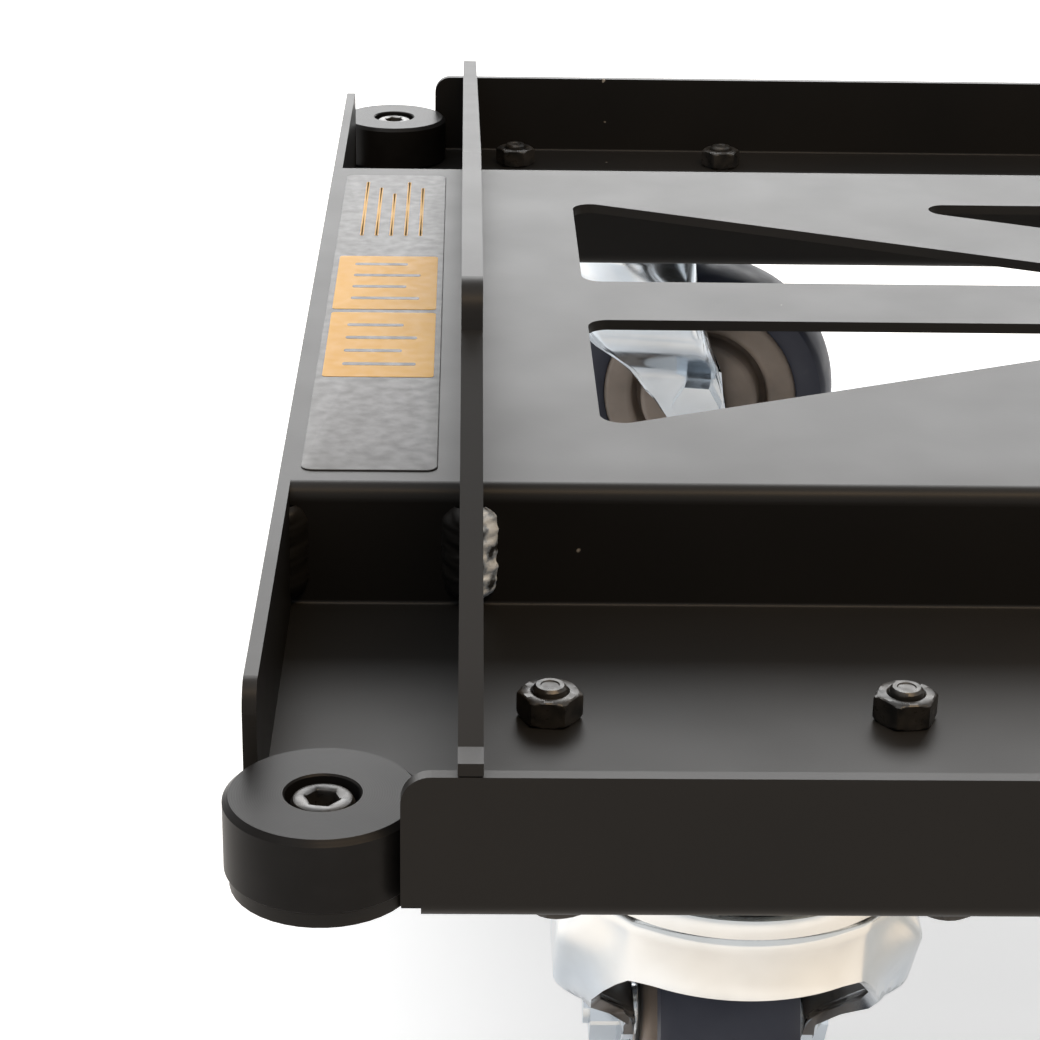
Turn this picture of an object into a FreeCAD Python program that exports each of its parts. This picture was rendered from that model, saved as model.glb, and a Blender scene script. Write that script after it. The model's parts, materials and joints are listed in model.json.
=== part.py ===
import FreeCAD, Part
import math
import os
import re
import Sketcher

# A low steel dolly for stage and theatre equipment: one bent top-hat pan on four swivel castors,
# with two rib plates across it, two end plates and a bumper roller at each corner.
# Origin: on the ground under the middle of the frame. +X is the length, +Y the back, +Z up.
# Every size is in millimetres.

SIZES = {
    # frame
    "frame_length": 720, "frame_width": 577, "sheet": 3, "lip_height": 32,
    "deck_width": 292, "deck_rise": 34, "bend_inner": 1, "bend_outer": 4, "lip_setback": 33,
    "corner_round": 6,
    "relief_width": 4, "relief_height": 3.5,
    # triangular cut-outs in the deck
    "spine_half": 18, "cut_reach": 104.5, "cut_end_gap": 80, "cut_long_tip": 86, "cut_middle_half": 184,
    "cut_round": 6,
    # end plates and ribs
    "end_plate_half": 255, "rib_sheet": 5, "rib_setback": 46.5, "rib_rise": 54, "rib_lip_gap": 3,
    "rib_top_front": 156, "rib_top_back": 38, "rib_shoulder_drop": 10, "rib_toe": 7, "rib_tail_rise": 6,
    "rib_round": 9, "pin_hole": 13, "pin_hole_drop": 18, "pin_hole_inset": 24, "pin_hole_pitch": 70,
    "weld_leg": 5,
    # rating plate
    "plate_length": 269, "plate_width": 33.5, "plate_thick": 0.5, "plate_edge_gap": 5, "plate_round": 3,
    "plate_shift": -1.5,
    # bumper rollers
    "bumper_x_inset": 17.2, "bumper_y_inset": 16.5, "bumper_radius": 20, "bumper_width": 16.3,
    "bumper_gap": 0.3, "bumper_recess": 9.3, "recess_radius": 7.6, "ear_margin": 1, "bush_radius": 6,
    "bush_wall": 1.95, "edge_break": 1.2,
    "screw_radius": 4, "screw_head_radius": 6.5, "screw_head_height": 8, "hex_key": 6, "key_depth": 4,
    "thin_nut_height": 4, "nut_flats": 13, "washer_radius": 8, "washer_thick": 1.2, "bolt_play": 0.5,
    # castors
    "castor_x_inset": 104.5, "castor_y_inset": 52.6, "pad_length": 105, "pad_width": 85, "pad_thick": 4,
    "pad_round": 10, "bolt_pitch_x": 80, "bolt_pitch_y": 60, "bolt_head_height": 5.3, "nut_height": 6.5,
    "bolt_tip": 1.5, "race_radius": 34.5, "race_inner": 20, "race_drop": 4.5, "ball_radius": 2.2,
    "ball_pitch_radius": 28, "ball_count": 20, "fork_sheet": 3, "crown_radius": 38.5, "cup_wall": 3,
    "cup_height": 5, "crown_gap": 9, "skirt_height": 15, "leg_inner": 18, "knee_high": 26, "knee_low": 46,
    "leg_end_radius": 13, "trail": 34, "wheel_radius": 50, "wheel_clearance": 9, "wheel_width": 32, "tyre_inner": 37,
    "tyre_round": 6, "rim_width": 28, "rim_inner": 25.7, "hub_radius": 22.5, "hub_width": 35,
    "web_width": 8, "wheel_bush_radius": 10, "axle_tube_radius": 7.5, "axle_radius": 5,
    "axle_head_flats": 16, "axle_head_height": 6, "axle_nut_height": 8, "kingpin_radius": 6,
    "kingpin_nut_flats": 19, "kingpin_nut_height": 6,
    # fits
    "running_fit": 0.08, "seat_fit": 0.02, "side_play": 0.3,
}

# (name, side along X, side along Y, direction in which the wheel trails, in degrees from +X)
CORNERS = [
    ("front_left", -1, -1, 90),
    ("front_right", 1, -1, 112),
    ("back_left", -1, 1, -10),
    ("back_right", 1, 1, -155),
]
SIDES = [("left", -1), ("right", 1)]

# The frame stands on its castors: its underside is a wheel, its clearance and the swivel above it.
CASTOR_STACK = ("wheel_radius", "wheel_radius", "wheel_clearance", "fork_sheet", "crown_gap", "pad_thick")

doc = FreeCAD.newDocument("castor_dolly")
sheet = doc.addObject("Spreadsheet::Sheet", "sizes")
for row, (alias, value) in enumerate(SIZES.items(), start=1):
    sheet.set(f"A{row}", alias)
    sheet.set(f"B{row}", str(value))
    sheet.setAlias(f"B{row}", alias)
doc.recompute()

exports = []


# --- the document's own vocabulary ---------------------------------------------------------------

def linked(formula):
    """A formula in plain size names, as the expression that reads them from the sheet."""
    whole = str(formula).replace("castor_height", f"({' + '.join(CASTOR_STACK)})")
    return re.sub(r"[a-z_]+", lambda word: "sizes." + word.group() if word.group() in SIZES
                  else word.group(), whole)


def size(name):
    """The value of one cell."""
    return float(sheet.get(name))


def castor_height():
    """The height of the frame's underside above the ground."""
    return sum(size(name) for name in CASTOR_STACK)


def bind(item, prop, formula):
    item.setExpression(prop, linked(formula))


def sub_part(item, name):
    """Give the object the name of its file and put it on the list of what is written."""
    item.Label = name
    exports.append(item)
    return item


def new_body(name):
    body = doc.addObject("PartDesign::Body", name)
    body.Label = name
    return body


def new_sketch(body, plane, offset="0"):
    """A sketch on one of the body's own origin planes, moved along that plane's normal."""
    sketch = body.newObject("Sketcher::SketchObject", body.Name + "_sketch")
    support = [item for item in body.Origin.OriginFeatures if item.Role == plane + "_Plane"]
    sketch.AttachmentSupport = [(support[0], "")]
    sketch.MapMode = "FlatFace"
    bind(sketch, "AttachmentOffset.Base.z", offset)
    return sketch


def hold(sketch, kind, geometry, vertex, formula):
    """Hold a point at a signed distance from the sketch's origin."""
    index = sketch.addConstraint(Sketcher.Constraint(kind, -1, 1, geometry, vertex, 1.0))
    bind(sketch, f"Constraints[{index}]", formula)


def outline(sketch, corners):
    """A closed run of straight lines whose corners are held by formulas."""
    first = len(sketch.Geometry)
    count = len(corners)
    for step in range(count):
        angle, following = (2 * math.pi * turn / count for turn in (step, step + 1))
        start = FreeCAD.Vector(math.cos(angle), math.sin(angle), 0) * 100
        end = FreeCAD.Vector(math.cos(following), math.sin(following), 0) * 100
        sketch.addGeometry(Part.LineSegment(start, end), False)
    for step in range(count):
        sketch.addConstraint(Sketcher.Constraint("Coincident", first + step, 2,
                                                 first + (step + 1) % count, 1))
    for step, (across, up) in enumerate(corners):
        hold(sketch, "DistanceX", first + step, 1, across)
        hold(sketch, "DistanceY", first + step, 1, up)


def circles(sketch, radius, centres):
    """Equal circles, each held by its radius and its centre."""
    for across, up in centres:
        index = len(sketch.Geometry)
        sketch.addGeometry(Part.Circle(FreeCAD.Vector(10, 10, 0), FreeCAD.Vector(0, 0, 1), 5), False)
        ring = sketch.addConstraint(Sketcher.Constraint("Radius", index, 5.0))
        bind(sketch, f"Constraints[{ring}]", radius)
        hold(sketch, "DistanceX", index, 3, across)
        hold(sketch, "DistanceY", index, 3, up)


def rectangle(x_low, x_high, y_low, y_high):
    return [(x_low, y_low), (x_high, y_low), (x_high, y_high), (x_low, y_high)]


def add(body, sketch, kind, length, backwards=False):
    """Pad or pocket the sketch by a length."""
    feature = body.newObject("PartDesign::" + kind, body.Name + "_" + kind.lower())
    feature.Profile = sketch
    bind(feature, "Length", length)
    feature.Reversed = backwards
    doc.recompute()
    return feature


def turn(body, sketch, kind="Revolution"):
    """Turn the sketch once about its own upright axis."""
    feature = body.newObject("PartDesign::" + kind, body.Name + "_" + kind.lower())
    feature.Profile = sketch
    feature.ReferenceAxis = (sketch, ["V_Axis"])
    feature.Angle = 360
    doc.recompute()
    return feature


def soften(body, radius, wanted, kind="Fillet"):
    """Round or break the edges that the test picks, by a named radius."""
    base = body.Tip
    edges = [f"Edge{number}" for number, edge in enumerate(base.Shape.Edges, start=1) if wanted(edge)]
    feature = body.newObject("PartDesign::" + kind, body.Name + "_" + kind.lower())
    feature.Base = (base, edges)
    bind(feature, "Radius" if kind == "Fillet" else "Size", radius)
    doc.recompute()
    return feature


def runs_along(edge, axis):
    """True for a straight edge that lies along the axis."""
    if not isinstance(edge.Curve, Part.Line):
        return False
    return abs(edge.Curve.Direction.dot(axis)) > 0.999


def near(edge, **place):
    """True when the middle of the edge lies at the given coordinates."""
    middle = edge.BoundBox.Center
    return all(abs(getattr(middle, axis) - value) < 0.01 for axis, value in place.items())


X_AXIS, Y_AXIS, Z_AXIS = FreeCAD.Vector(1, 0, 0), FreeCAD.Vector(0, 1, 0), FreeCAD.Vector(0, 0, 1)


def place(item, x="0", y="0", z="0", angle=0, axis=Z_AXIS):
    """Put an object at a place given by formulas, turned about an axis through it."""
    item.Placement = FreeCAD.Placement(FreeCAD.Vector(), FreeCAD.Rotation(axis, angle))
    for letter, formula in zip("xyz", (x, y, z)):
        bind(item, "Placement.Base." + letter, formula)
    return item


def group(name, pieces):
    """Separate equal solids kept together as one sub-part."""
    item = doc.addObject("Part::Compound", name)
    item.Links = pieces
    return sub_part(item, name)


def turned(name, corners):
    """A solid of revolution about Z from a profile of (radius, height) formulas."""
    body = new_body(name)
    sketch = new_sketch(body, "XZ")
    outline(sketch, corners)
    turn(body, sketch)
    return body


def ring(name, inner, outer, low, high):
    return turned(name, rectangle(inner, outer, low, high))


def hexagon(flats):
    """The six corners of a hexagon of the given width across flats."""
    half, reach = f"({flats})/2", f"({flats})/sqrt(3)"
    return [(reach, "0"), (f"{reach}/2", half), (f"-{reach}/2", half), (f"-{reach}", "0"),
            (f"-{reach}/2", f"-{half}"), (f"{reach}/2", f"-{half}")]


def hex_prism(name, flats, height, hole=None):
    """A hexagonal bolt head, or a nut when a hole radius is given, standing on z = 0."""
    body = new_body(name)
    sketch = new_sketch(body, "XY")
    outline(sketch, hexagon(flats))
    if hole:
        circles(sketch, hole, [("0", "0")])
    add(body, sketch, "Pad", height)
    return body


# --- levels that several pieces share -------------------------------------------------------------

FLOOR = "castor_height + sheet"
LIP = "castor_height + lip_height"
DECK = "castor_height + deck_rise"
PAD_BOTTOM = "castor_height - pad_thick"
CROWN_TOP = "castor_height - pad_thick - crown_gap"
CROWN_BOTTOM = "castor_height - pad_thick - crown_gap - fork_sheet"
BUMPER_X = "(frame_length/2 - bumper_x_inset)"
BUMPER_Y = "(frame_width/2 - bumper_y_inset)"
CASTOR_X = "(frame_length/2 - castor_x_inset)"
CASTOR_Y = "(frame_width/2 - castor_y_inset)"
RIB_X = "(frame_length/2 - rib_setback)"


# --- the pan ---------------------------------------------------------------------------------------

def make_base_pan():
    """One sheet bent into a hat: lip, tray floor, wall, deck, wall, tray floor, lip."""
    body = new_body("base_pan")
    half, wall = "frame_width/2", "deck_width/2"
    bottom = "castor_height"
    profile = [
        (f"-{half}", bottom), (f"-{wall} + sheet", bottom), (f"-{wall} + sheet", f"{DECK} - sheet"),
        (f"{wall} - sheet", f"{DECK} - sheet"), (f"{wall} - sheet", bottom), (half, bottom),
        (half, LIP), (f"{half} - sheet", LIP), (f"{half} - sheet", FLOOR), (wall, FLOOR),
        (wall, DECK), (f"-{wall}", DECK), (f"-{wall}", FLOOR), (f"-{half} + sheet", FLOOR),
        (f"-{half} + sheet", LIP), (f"-{half}", LIP),
    ]
    sketch = new_sketch(body, "YZ", "-frame_length/2")
    outline(sketch, profile)
    add(body, sketch, "Pad", "frame_length")

    half_width, half_deck = size("frame_width") / 2, size("deck_width") / 2
    low = castor_height()
    thick, high = size("sheet"), low + size("deck_rise")
    outer = [(half_width, low), (half_deck - thick, low), (half_deck, high)]
    inner = [(half_width - thick, low + thick), (half_deck, low + thick), (half_deck - thick, high - thick)]
    for radius, folds in (("bend_outer", outer), ("bend_inner", inner)):
        soften(body, radius, lambda edge: runs_along(edge, X_AXIS) and any(
            near(edge, y=side * across, z=up) for across, up in folds for side in (1, -1)))

    deck_cuts(body)

    # the hat stops short of the end plates, and the lips stop short of the bumpers
    sketch = new_sketch(body, "XY", DECK)
    end, edge_of_hat = "frame_length/2", f"{wall} + bend_inner"
    for side in ("-", ""):
        outline(sketch, rectangle(f"{side}({end} - sheet)", f"{side}({end} + sheet)",
                                  f"-({edge_of_hat})", edge_of_hat))
        for depth in ("-", ""):
            outline(sketch, rectangle(f"{side}({end} - lip_setback)", f"{side}({end} + sheet)",
                                      f"{depth}{BUMPER_Y}", f"{depth}({half} + sheet)"))
    add(body, sketch, "Pocket", "deck_rise")

    # a round ear carries each bumper
    sketch = new_sketch(body, "XY", "castor_height")
    centres = [(f"{x}{BUMPER_X}", f"{y}{BUMPER_Y}") for x in ("-", "") for y in ("-", "")]
    circles(sketch, "bumper_radius - ear_margin", centres)
    add(body, sketch, "Pad", "sheet")

    # a relief slot where each lip's bend begins
    sketch = new_sketch(body, "XY", "castor_height + relief_height")
    for side in ("-", ""):
        for depth in ("-", ""):
            outline(sketch, rectangle(
                f"{side}({end} - lip_setback - relief_width)", f"{side}({end} - lip_setback)",
                f"{depth}({half} - bend_outer - 1)", f"{depth}({half} + sheet)"))
    add(body, sketch, "Pocket", "relief_height")

    # bolt holes for the bumpers and the castors
    sketch = new_sketch(body, "XY", FLOOR)
    circles(sketch, "screw_radius + bolt_play", centres + [
        (f"{x}{CASTOR_X} {dx} bolt_pitch_x/2", f"{y}{CASTOR_Y} {dy} bolt_pitch_y/2")
        for x in ("-", "") for y in ("-", "") for dx in "+-" for dy in "+-"])
    add(body, sketch, "Pocket", "sheet")

    lip_end, lip_top = size("frame_length") / 2 - size("lip_setback"), low + size("lip_height")
    soften(body, "corner_round", lambda edge: runs_along(edge, Y_AXIS) and any(
        near(edge, x=side * lip_end, z=lip_top) for side in (1, -1)))
    return sub_part(body, "base_pan")


def deck_cuts(body):
    """Three triangles on each side of the deck's spine, which leave a zigzag of webs."""
    sketch = new_sketch(body, "XY", DECK)
    for depth in ("-", ""):
        near_spine, far = f"{depth}spine_half", f"{depth}cut_reach"
        for side in ("-", ""):
            blunt, tip = f"{side}(frame_length/2 - cut_end_gap)", f"{side}cut_long_tip"
            outline(sketch, [(blunt, near_spine), (blunt, far), (tip, near_spine)])
        outline(sketch, [("-cut_middle_half", far), ("cut_middle_half", far), ("0", near_spine)])
    add(body, sketch, "Pocket", "sheet")
    reach = size("cut_reach")
    middle = castor_height() + size("deck_rise") - size("sheet") / 2
    soften(body, "cut_round", lambda edge: runs_along(edge, Z_AXIS)
           and abs(edge.BoundBox.Center.y) < reach + 1 and near(edge, z=middle))


def make_end_plate(name, side):
    """An upright plate that closes the hat's end and stands on the tray floors."""
    body = new_body(name)
    start = "frame_length/2 - sheet" if side > 0 else "-frame_length/2"
    sketch = new_sketch(body, "YZ", start)
    outline(sketch, rectangle("-end_plate_half", "end_plate_half", FLOOR, DECK))
    add(body, sketch, "Pad", "sheet")
    high = castor_height() + size("deck_rise")
    soften(body, "corner_round", lambda edge: runs_along(edge, X_AXIS) and near(edge, z=high))
    return sub_part(body, name)


def make_rib(name, side):
    """A thick plate across the pan: it straddles the hat, and its ends rest above the lips."""
    body = new_body(name)
    start = f"{RIB_X} - rib_sheet/2" if side > 0 else f"-{RIB_X} - rib_sheet/2"
    half, wall = "frame_width/2", "deck_width/2"
    over_lip, sill = f"{LIP} + side_play", f"{LIP} + rib_lip_gap"
    top, tail = f"{DECK} + rib_rise", f"{LIP} + rib_tail_rise"
    sketch = new_sketch(body, "YZ", start)
    outline(sketch, [
        (f"-{half}", over_lip), (f"-{half} + sheet + side_play", over_lip),
        (f"-{half} + sheet + side_play", f"{FLOOR} + bend_inner"),
        (f"-{half} + sheet + bend_inner + side_play", FLOOR),
        (f"-{wall} - bend_inner", FLOOR), (f"-{wall}", f"{FLOOR} + bend_inner"), (f"-{wall}", DECK),
        (wall, DECK), (wall, f"{FLOOR} + bend_inner"), (f"{wall} + bend_inner", FLOOR),
        (f"{half} - sheet - bend_inner - side_play", FLOOR),
        (f"{half} - sheet - side_play", f"{FLOOR} + bend_inner"),
        (f"{half} - sheet - side_play", over_lip), (half, over_lip),
        (half, tail), ("-rib_top_back", top), ("-rib_top_front", top),
        ("-rib_top_front - 2", f"{top} - rib_shoulder_drop"),
        (f"-{half} + rib_toe", sill), (f"-{half}", sill),
    ])
    add(body, sketch, "Pad", "rib_sheet")
    high = castor_height() + size("deck_rise") + size("rib_rise")
    soften(body, "rib_round", lambda edge: runs_along(edge, X_AXIS) and near(
        edge, y=-size("rib_top_front"), z=high))
    sketch = new_sketch(body, "YZ", f"{start} + rib_sheet")
    row = f"{top} - pin_hole_drop"
    circles(sketch, "pin_hole/2", [("-rib_top_front + pin_hole_inset", row),
                                   ("-rib_top_front + pin_hole_inset + pin_hole_pitch", row)])
    add(body, sketch, "Pocket", "rib_sheet")
    return sub_part(body, name)


def make_welds():
    """Fillet welds: the ribs and the end plates against the hat's walls."""
    rib_beads, end_beads = [], []
    low, length = f"{FLOOR} + bend_inner + 1", "deck_rise - sheet - bend_inner - bend_outer - 2"
    wall = "deck_width/2"
    for name, side in SIDES:
        sign = "" if side > 0 else "-"
        seats = [(rib_beads, f"{sign}{RIB_X} + rib_sheet/2", "+"),
                 (rib_beads, f"{sign}{RIB_X} - rib_sheet/2", "-"),
                 (end_beads, f"{sign}(frame_length/2 - sheet)", "-" if side > 0 else "+")]
        for beads, corner, away in seats:
            for depth in ("-", ""):
                body = new_body(f"weld_{name}")
                sketch = new_sketch(body, "XY", low)
                outline(sketch, [(corner, f"{depth}({wall})"),
                                 (f"{corner} {away} weld_leg", f"{depth}({wall})"),
                                 (corner, f"{depth}({wall} + weld_leg)")])
                add(body, sketch, "Pad", length)
                beads.append(body)
    group("rib_welds", rib_beads)
    group("end_plate_welds", end_beads)


def make_rating_plate():
    """A thin rounded plate on the deck's left end, with nothing written on it."""
    body = new_body("rating_plate")
    sketch = new_sketch(body, "XY", DECK)
    left = "-frame_length/2 + plate_edge_gap"
    outline(sketch, rectangle(left, f"{left} + plate_width", "plate_shift - plate_length/2",
                              "plate_shift + plate_length/2"))
    add(body, sketch, "Pad", "plate_thick")
    soften(body, "plate_round", lambda edge: runs_along(edge, Z_AXIS))
    return sub_part(body, "rating_plate")


# --- bumpers ---------------------------------------------------------------------------------------

def make_bumpers():
    """At each corner a roller turns on a bush, which a recessed screw clamps to its ear."""
    low = f"{FLOOR} + bumper_gap"
    high = f"{low} + bumper_width"
    seat = f"{high} - bumper_recess"
    bush_top = f"{seat} + side_play"
    bore = "bush_radius + running_fit"
    bushes, screws, washers, nuts = [], [], [], []
    for name, x_side, y_side, _ in CORNERS:
        spot = (("" if x_side > 0 else "-") + BUMPER_X, ("" if y_side > 0 else "-") + BUMPER_Y)
        roller = turned("bumper_roller_" + name, [
            (bore, low), ("bumper_radius - edge_break/2", low), ("bumper_radius", f"{low} + edge_break/2"),
            ("bumper_radius", f"{high} - edge_break"), ("bumper_radius - edge_break", high),
            ("recess_radius + edge_break/3", high), ("recess_radius", f"{high} - edge_break/3"),
            ("recess_radius", seat), (bore, seat)])
        place(roller, *spot)
        sub_part(roller, roller.Name)

        bush = ring("bush", "bush_radius - bush_wall", "bush_radius", FLOOR, bush_top)
        washer = ring("washer", "screw_radius + seat_fit", "washer_radius",
                      "castor_height - washer_thick", "castor_height")
        nut = hex_prism("thin_nut", "nut_flats", "thin_nut_height", "screw_radius + seat_fit")
        screw = socket_screw(bush_top)
        for piece, pieces in ((bush, bushes), (washer, washers), (screw, screws)):
            pieces.append(place(piece, *spot))
        nuts.append(place(nut, *spot, "castor_height - washer_thick - thin_nut_height"))
    group("bumper_bushes", bushes)
    group("bumper_screws", screws)
    group("bumper_washers", washers)
    group("bumper_nuts", nuts)


def socket_screw(seat):
    """A socket head cap screw with its head on the given level."""
    head_top = f"{seat} + screw_head_height"
    screw = new_body("socket_screw")
    sketch = new_sketch(screw, "XZ")
    tip = "castor_height - washer_thick - thin_nut_height - bumper_gap"
    outline(sketch, [
        ("0", tip), ("screw_radius", tip), ("screw_radius", seat), ("screw_head_radius", seat),
        ("screw_head_radius", f"{head_top} - edge_break/2"),
        ("screw_head_radius - edge_break/2", head_top), ("0", head_top)])
    turn(screw, sketch)
    sketch = new_sketch(screw, "XY", head_top)
    outline(sketch, hexagon("hex_key"))
    add(screw, sketch, "Pocket", "key_depth")
    return screw


# --- castors ---------------------------------------------------------------------------------------

def make_castor_fasteners():
    """Four bolts hold each castor: head below the castor's plate, nut on the tray floor."""
    bolts, nuts = [], []
    head_low = f"{PAD_BOTTOM} - bolt_head_height"
    for _, x_side, y_side, _ in CORNERS:
        for dx in "+-":
            for dy in "+-":
                spot = (("" if x_side > 0 else "-") + f"{CASTOR_X} {dx} bolt_pitch_x/2",
                        ("" if y_side > 0 else "-") + f"{CASTOR_Y} {dy} bolt_pitch_y/2")
                bolt = hex_prism("castor_bolt", "nut_flats", "bolt_head_height")
                sketch = new_sketch(bolt, "XY", "bolt_head_height")
                circles(sketch, "screw_radius", [("0", "0")])
                add(bolt, sketch, "Pad", "pad_thick + sheet + nut_height + bolt_tip")
                nut = hex_prism("castor_nut", "nut_flats", "nut_height", "screw_radius + seat_fit")
                soften(nut, "edge_break/2", lambda edge: runs_along(edge, Z_AXIS), "Chamfer")
                bolts.append(place(bolt, *spot, head_low))
                nuts.append(place(nut, *spot, FLOOR))
    group("castor_bolts", bolts)
    group("castor_nuts", nuts)


def make_castor_plate(name, spot):
    """The castor's bolted plate, with the upper ball race below it."""
    body = new_body("castor_plate_" + name)
    sketch = new_sketch(body, "XY", PAD_BOTTOM)
    outline(sketch, rectangle("-pad_length/2", "pad_length/2", "-pad_width/2", "pad_width/2"))
    circles(sketch, "kingpin_radius + seat_fit", [("0", "0")])
    circles(sketch, "screw_radius + bolt_play", [
        (f"{dx}bolt_pitch_x/2", f"{dy}bolt_pitch_y/2") for dx in ("", "-") for dy in ("", "-")])
    add(body, sketch, "Pad", "pad_thick")
    soften(body, "pad_round", lambda edge: runs_along(edge, Z_AXIS))
    sketch = new_sketch(body, "XY", PAD_BOTTOM)
    circles(sketch, "race_radius", [("0", "0")])
    circles(sketch, "race_inner", [("0", "0")])
    add(body, sketch, "Pad", "race_drop", backwards=True)
    place(body, *spot)
    return sub_part(body, "castor_plate_" + name)


def make_fork(name, spot, angle):
    """A pressed fork: round crown with a cup round the race, a front skirt and two joggled legs."""
    knee_high, knee_low = f"{CROWN_TOP} - knee_high", f"{CROWN_TOP} - knee_low"
    foot = "wheel_radius - leg_end_radius"
    wide, slim = "crown_radius", "leg_inner + fork_sheet"
    bend = new_body("fork_bend")
    sketch = new_sketch(bend, "YZ", "-crown_radius")
    outline(sketch, [
        (f"-({wide})", CROWN_TOP), (f"-({wide})", knee_high), (f"-({slim})", knee_low),
        (f"-({slim})", foot), ("-leg_inner", foot), ("-leg_inner", knee_low),
        (f"-({wide} - fork_sheet)", knee_high), (f"-({wide} - fork_sheet)", CROWN_BOTTOM),
        (f"{wide} - fork_sheet", CROWN_BOTTOM), (f"{wide} - fork_sheet", knee_high),
        ("leg_inner", knee_low), ("leg_inner", foot), (slim, foot), (slim, knee_low),
        (wide, knee_high), (wide, CROWN_TOP)])
    add(bend, sketch, "Pad", "crown_radius + trail + leg_end_radius")

    outside = new_body("fork_outside")
    sketch = new_sketch(outside, "XZ", "-crown_radius")
    outline(sketch, [
        ("-crown_radius", CROWN_TOP), ("-crown_radius", f"{CROWN_TOP} - skirt_height"),
        ("-crown_radius*0.6", f"{CROWN_TOP} - skirt_height*1.6"),
        ("trail - leg_end_radius", "wheel_radius"),
        ("trail - leg_end_radius*0.7", "wheel_radius - leg_end_radius*0.7"), ("trail", foot),
        ("trail + leg_end_radius*0.7", "wheel_radius - leg_end_radius*0.7"),
        ("trail + leg_end_radius", "wheel_radius"), ("crown_radius*0.9", CROWN_TOP)])
    add(outside, sketch, "Pad", "crown_radius*2")

    plan = new_body("fork_plan")
    sketch = new_sketch(plan, "XY", foot)
    circles(sketch, "crown_radius", [("0", "0")])
    add(plan, sketch, "Pad", f"{CROWN_TOP} - ({foot})")
    sketch = new_sketch(plan, "XY", foot)
    outline(sketch, rectangle("0", "trail + leg_end_radius", "-crown_radius", "crown_radius"))
    add(plan, sketch, "Pad", f"{CROWN_TOP} - ({foot})")

    pressed = doc.addObject("Part::MultiCommon", "fork_pressed")
    pressed.Shapes = [bend, outside, plan]
    # the skirt runs round the front half only, so the wheel has room behind it
    skirt = ring("fork_skirt", "crown_radius - fork_sheet", "crown_radius",
                 f"{CROWN_TOP} - skirt_height", CROWN_TOP)
    sketch = new_sketch(skirt, "XY", CROWN_TOP)
    outline(sketch, rectangle("fork_sheet", "crown_radius*1.1", "-crown_radius*1.1", "crown_radius*1.1"))
    add(skirt, sketch, "Pocket", "skirt_height")
    cup = ring("fork_cup", "crown_radius - cup_wall", "crown_radius", CROWN_TOP,
               f"{CROWN_TOP} + cup_height")
    shell = doc.addObject("Part::MultiFuse", "fork_shell")
    shell.Shapes = [pressed, skirt, cup]
    pin_hole = doc.addObject("Part::Cylinder", "kingpin_hole")
    bind(pin_hole, "Radius", "kingpin_radius + running_fit")
    bind(pin_hole, "Height", "crown_gap + fork_sheet + 2")
    place(pin_hole, z=f"{CROWN_BOTTOM} - 1")
    axle_hole = doc.addObject("Part::Cylinder", "axle_hole")
    bind(axle_hole, "Radius", "axle_radius + seat_fit")
    bind(axle_hole, "Height", "crown_radius*2")
    place(axle_hole, "trail", "crown_radius", "wheel_radius", 90, X_AXIS)
    holes = doc.addObject("Part::MultiFuse", "fork_holes")
    holes.Shapes = [pin_hole, axle_hole]
    fork = doc.addObject("Part::Cut", "fork_" + name)
    fork.Base, fork.Tool = shell, holes
    place(fork, *spot, angle=angle)
    return sub_part(fork, "fork_" + name)


def across(body, spot, angle, start="0"):
    """Lay a piece that was made along Z on the axle's line, starting to the given side of the middle."""
    turned_way = math.radians(angle)
    along, side = (math.cos(turned_way), math.sin(turned_way)), (-math.sin(turned_way), math.cos(turned_way))
    where = [f"({base}) + {ahead:.9f}*trail + {aside:.9f}*({start})"
             for base, ahead, aside in zip(spot, along, side)]
    place(body, where[0], where[1], "wheel_radius")
    body.Placement.Rotation = FreeCAD.Rotation(Z_AXIS, angle) * FreeCAD.Rotation(X_AXIS, -90)
    return body


def make_wheel(name, spot, angle):
    """Tyre, centre and plain bush turn together on the fixed axle tube."""
    grip = "leg_inner + fork_sheet"
    tyre = turned("tyre_" + name, rectangle("tyre_inner", "wheel_radius", "-wheel_width/2", "wheel_width/2"))
    rim = size("wheel_radius")
    soften(tyre, "tyre_round", lambda edge: abs(edge.BoundBox.XLength - 2 * rim) < 0.1
           and isinstance(edge.Curve, Part.Circle))
    centre = turned("wheel_centre_" + name, [
        ("wheel_bush_radius", "-hub_width/2"), ("hub_radius", "-hub_width/2"),
        ("hub_radius", "-web_width/2"), ("rim_inner", "-web_width/2"), ("rim_inner", "-rim_width/2"),
        ("tyre_inner", "-rim_width/2"), ("tyre_inner", "rim_width/2"), ("rim_inner", "rim_width/2"),
        ("rim_inner", "web_width/2"), ("hub_radius", "web_width/2"), ("hub_radius", "hub_width/2"),
        ("wheel_bush_radius", "hub_width/2")])
    bush = ring("wheel_bush_" + name, "axle_tube_radius + running_fit", "wheel_bush_radius",
                "-hub_width/2 - side_play", "hub_width/2 + side_play")
    tube = ring("axle_tube_" + name, "axle_radius + seat_fit", "axle_tube_radius", "-leg_inner", "leg_inner")
    bolt = hex_prism("axle_bolt_" + name, "axle_head_flats", "axle_head_height")
    sketch = new_sketch(bolt, "XY", "axle_head_height")
    circles(sketch, "axle_radius", [("0", "0")])
    add(bolt, sketch, "Pad", "2*(leg_inner + fork_sheet) + axle_nut_height + bolt_tip")
    nut = hex_prism("axle_nut_" + name, "axle_head_flats", "axle_nut_height", "axle_radius + seat_fit")
    soften(nut, "edge_break/2", lambda edge: runs_along(edge, Z_AXIS), "Chamfer")
    starts = ((tyre, "0"), (centre, "0"), (bush, "0"), (tube, "0"),
              (bolt, f"-({grip}) - axle_head_height"), (nut, grip))
    for body, start in starts:
        sub_part(across(body, spot, angle, start), body.Name)


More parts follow.
